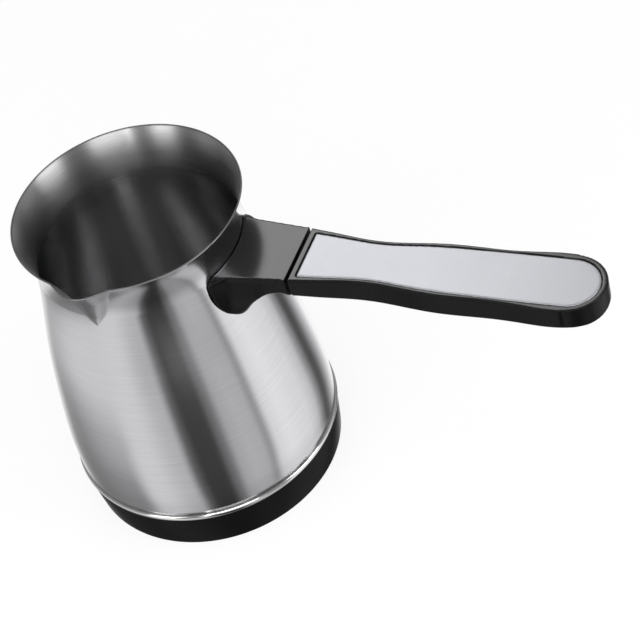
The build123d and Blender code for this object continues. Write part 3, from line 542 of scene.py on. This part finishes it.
def makeBlackBase():
    # Tapered wall with a rounded foot and a broken upper edge, hollow below.
    b = blackBase
    slope = (b["top"] - b["foot"]) / b["height"]
    e, t = b["edge"], b["topEdge"]
    under = b["height"] - b["ledgeHeight"]
    profile = np.concatenate([
        corner((b["foot"] - e + slope * e, e), e, *b["footArc"]),
        corner((b["top"] - t - slope * t, b["height"] - t), t, *b["topArc"]),
        [[b["top"] - b["ledge"], b["height"]], [b["top"] - b["ledge"], under],
         [b["foot"] + slope * under - b["wall"], under], [b["foot"] - b["wall"], 0.0]],
    ])
    piece = addPiece("blackBase", turned(profile), [finishes["baseBlack"]], "pot", b["sharp"])
    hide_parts("base_shell")


makeBead()
makeBlackBase()
print("bead and base made")


# Handle, and the floor of the pot

handleBracket = {"cell": 0.3, "rounds": 10, "hardFrom": 61.0,
                 "lowRounds": 130, "lowFrom": 112.0, "swell": 0.12}
grip = {"cell": 0.38, "rounds": 2}
silverInsert = {"cell": 0.26, "rounds": 3}
potFloor = {"sharp": 34}

# The bracket and grip take the raised-shine black on top and the dull black on the sides: painted sheen and
# painted shade.
blacksPaintedSheenAndShade = [finishes["glossBlack"], finishes["sideBlack"]]
silvers = [finishes["silverLacquer"]]
soften("handleBracket", "handle_bracket", blacksPaintedSheenAndShade, "pot", "gloss_black", **handleBracket)
soften("grip", "grip_shell", blacksPaintedSheenAndShade, "grip", "gloss_black", **grip)
soften("silverInsert", "grip_insert", silvers, "grip", "silver_lacquer", **silverInsert)
# The pot's floor takes the inside's darker steel: painted shade.
refine("potFloor", "pot_floor", finishes["innerSteel"], "pot", potFloor["sharp"])
print("handle and floor made")


# Pieces that keep their solids: finish, then nodes

nodesOfFinish = {
    "zincSteel": ("floor_studs", "shell_screws", "cover_screws", "element_pins", "controller_screws",
                  "weld_plate", "bracket_screws", "hinge_pin", "hinge_washers", "grip_screws"),
    "springSteel": ("latch_spring",),
    "castAluminium": ("heater_plate",),
    "sheathMetal": ("heating_element",),
    "brass": ("terminal_clips", "contact_rings", "centre_contact"),
    "bimetal": ("bimetal_discs",),
    "satinBlack": ("base_cover", "grip_carrier", "release_button"),
    "controlBlack": ("controller_body",),
    "ceramicWhite": ("push_rods",),
    "siliconeWhite": ("base_gasket", "socket_seal"),
}
for finish, finishNodes in nodesOfFinish.items():
    for node in finishNodes:
        for materialSlot in nodes[node].material_slots:
            materialSlot.material = finishes[finish]
print("solids finished")


# Stage

studio = {
    # azimuth, elevation, distance, width, height, brightness, whether metal sees it
    "lamps": {
        "farBox": (119, 45, 1.2, 0.50, 0.42, 2.6, True),
        "topBox": (-60, 70, 1.4, 1.40, 1.40, 2.0, False),
        "tallBoxFar": (-112, 26, 1.2, 0.42, 0.80, 3.0, True),
        "tallStrip": (-79, 26, 1.2, 0.08, 0.66, 9.0, True),
        "tallBoxNear": (-57, 26, 1.2, 0.64, 0.66, 3.0, True),
        "tallBoxRight": (5, 26, 1.2, 0.60, 0.80, 3.0, True),
    },
    "lampAim": (0.02, 0, 0.09),
    # reflections from below the horizon: compass angle from +X, brightness
    "bands": ((-180, 0.84), (-160, 0.88), (-110, 0.86), (-85, 0.64), (-76, 0.12), (-70, 0.05),
              (-56, 0.05), (-49, 0.20), (-40, 0.55), (-30, 0.62), (-20, 0.60), (-14, 0.38), (-6, 1.0),
              (6, 1.1), (30, 1.0), (44, 0.80), (53, 0.35), (61, 0.08), (68, 0.10), (74, 0.28),
              (80, 0.52), (86, 0.70), (93, 0.98), (100, 1.15), (108, 1.2), (114, 1.0), (140, 0.92),
              (160, 0.80), (180, 0.84)),
    # the same from just below the horizon
    "horizon": ((-180, 0.08), (-150, 0.08), (-128, 0.30), (-120, 1.0), (-104, 1.0), (-94, 0.12),
                (-84, 0.12), (-80, 0.9), (-76, 0.9), (-72, 0.25), (-64, 0.8), (-52, 1.0), (-40, 0.8),
                (-30, 0.15), (-18, 0.15), (-10, 0.9), (18, 0.9), (32, 0.3), (60, 0.3), (100, 0.5),
                (140, 0.4), (180, 0.08)),
    # how much of the bands is left lower down
    "deep": ((-180, 0.28), (-135, 0.36), (-118, 1.0), (148, 1.0), (168, 0.36), (180, 0.28)),
    # the height of a direction is the sine of its elevation, and each pair is a soft change
    "groundHeights": (-0.80, -0.72), "groundLevel": 0.6,
    "deepHeights": (-0.64, -0.50),
    "horizonHeights": (-0.30, -0.16),
    "skyHeights": (0.06, 0.18),
    "zenithHeights": (0.2, 0.9), "skyLevel": 0.40, "zenithLevel": 0.18,
    # half the floor's width and its place below the pot are in metres
    "floorHalf": 3.0, "floorDrop": 0.00002, "floorTints": ((0.93, 0.93, 0.93), (0.96, 0.96, 0.96)),
    "floorGrain": 60.0, "floorGlow": 0.86,
}


def makeWorld():
    # Light and dark bands all round, in reflections and light only. The camera sees plain white.
    s = studio
    world = bpy.data.worlds.new("studio")
    world.use_nodes = True
    bpy.context.scene.world = world
    graph = Graph(world.node_tree)
    direction = graph.add("ShaderNodeTexCoord")["Generated"]
    parts = graph.add("ShaderNodeSeparateXYZ", None, {"Vector": direction})
    height = parts["Z"]
    turn = graph.add("ShaderNodeMath", {"operation": "ARCTAN2"}, {0: parts["Y"], 1: parts["X"]})[0]
    share = turn / (2 * math.pi) + 0.5
    bands, horizon, deep = (
        graph.add("ShaderNodeValToRGB", {"blend": "EASE", "stops": [(a / 360 + 0.5, v) for a, v in s[key]]},
                  {"Fac": share})[0] for key in ("bands", "horizon", "deep"))
    sky = graph.remap(height, *s["zenithHeights"], s["skyLevel"], s["zenithLevel"])
    low = graph.remap(height, *s["deepHeights"], 1.0, 0.0)
    ground = graph.remap(height, *s["groundHeights"], s["groundLevel"], 1.0)
    level = graph.remap(height, *s["horizonHeights"], 1.0, 0.0)
    high = graph.remap(height, *s["skyHeights"], 0.0, 1.0)
    colour = graph.blend(level, horizon, bands * ground * (1 - low * (1 - deep)))
    colour = graph.blend(high, colour, sky)
    seen = graph.add("ShaderNodeLightPath")["Is Camera Ray"]
    colour = graph.blend(seen, colour, (1.0, 1.0, 1.0))
    background = graph.add("ShaderNodeBackground", None, {"Color": colour, "Strength": 1.0})
    graph.add("ShaderNodeOutputWorld", None, {"Surface": background["Background"]})


def makeFloor():
    # A wide pale sheet. Metal looks past it at the studio's light bands.
    s = studio
    material, graph, coords = newMaterial("paleFloor")
    colour = graph.blend(graph.noise(coords, s["floorGrain"], detail=3.0), *s["floorTints"])
    shader = graph.add("ShaderNodeBsdfDiffuse", None, {"Color": colour})
    glow = graph.add("ShaderNodeEmission", None, {"Color": (1.0, 1.0, 1.0), "Strength": 1.0})
    seen = graph.add("ShaderNodeLightPath")["Is Camera Ray"]
    mixed = graph.add("ShaderNodeMixShader", None,
                      {0: seen * s["floorGlow"], 1: shader["BSDF"], 2: glow["Emission"]})
    graph.add("ShaderNodeOutputMaterial", None, {"Surface": mixed["Shader"]})
    r = s["floorHalf"]
    mesh = bpy.data.meshes.new("floor")
    mesh.from_pydata([(-r, -r, 0), (r, -r, 0), (r, r, 0), (-r, r, 0)], [], [(0, 1, 2, 3)])
    mesh.materials.append(material)
    floor = bpy.data.objects.new("floor", mesh)
    floor.location.z = -s["floorDrop"]
    floor.visible_glossy = False
    bpy.context.scene.collection.objects.link(floor)


def addLamp(name, azimuth, elevation, distance, width, height, brightness, inMetal):
    # A soft box that looks at the pot's middle. Its power is its brightness over its area.
    data = bpy.data.lights.new(name, "AREA")
    data.shape = "RECTANGLE"
    data.size, data.size_y = width, height
    data.energy = brightness * math.pi * width * height
    lamp = bpy.data.objects.new(name, data)
    lamp.visible_glossy = inMetal
    a, e = math.radians(azimuth), math.radians(elevation)
    place = np.array([math.cos(e) * math.cos(a), math.cos(e) * math.sin(a), math.sin(e)]) * distance
    lamp.location = place + np.array(studio["lampAim"])
    lamp.rotation_euler = (math.pi / 2 - e, 0, a + math.pi / 2)
    bpy.context.scene.collection.objects.link(lamp)


makeWorld()
makeFloor()
for name, setting in studio["lamps"].items():
    addLamp(name, *setting)
print("studio made")


# Camera. Angles are in degrees. The rim's place, focal and frame are in pixels, the rest in millimetres.

cameraSet = {"azimuth": 32.5, "elevation": 44.81, "roll": -17.38, "rimX": 125.29, "rimY": 204.22,
             "depth": 700.0, "focal": 2008.55, "frame": 640, "rimZ": 130.05, "sensor": 36.0}


def makeCamera():
    # Stands at the measured angle. The rim's centre falls on its measured place in the frame.
    c = cameraSet
    a, e, r = (math.radians(c[key]) for key in ("azimuth", "elevation", "roll"))
    back = np.array([math.sin(a) * math.cos(e), -math.cos(a) * math.cos(e), math.sin(e)])
    right = np.array([math.cos(a), math.sin(a), 0.0])
    level = np.stack([right, -np.cross(back, right), -back])
    tilt = np.array([[math.cos(r), -math.sin(r), 0], [math.sin(r), math.cos(r), 0], [0, 0, 1]])
    view = tilt @ level
    middle = c["frame"] / 2
    rim = np.array([(c["rimX"] - middle) / c["focal"], (c["rimY"] - middle) / c["focal"], 1.0]) * c["depth"]
    place = -view.T @ rim + np.array([0, 0, c["rimZ"]])
    data = bpy.data.cameras.new("camera")
    data.sensor_fit = "HORIZONTAL"
    data.sensor_width = c["sensor"]
    data.lens = c["sensor"] * c["focal"] / c["frame"]
    data.clip_start = 0.01
    camera = bpy.data.objects.new("camera", data)
    matrix = np.eye(4)
    matrix[:3, 0], matrix[:3, 1], matrix[:3, 2], matrix[:3, 3] = view[0], -view[1], -view[2], place * mm
    camera.matrix_world = Matrix(matrix.tolist())
    bpy.context.scene.collection.objects.link(camera)
    bpy.context.scene.camera = camera


makeCamera()
bpy.context.scene.view_settings.view_transform = "Standard"
print("camera set")
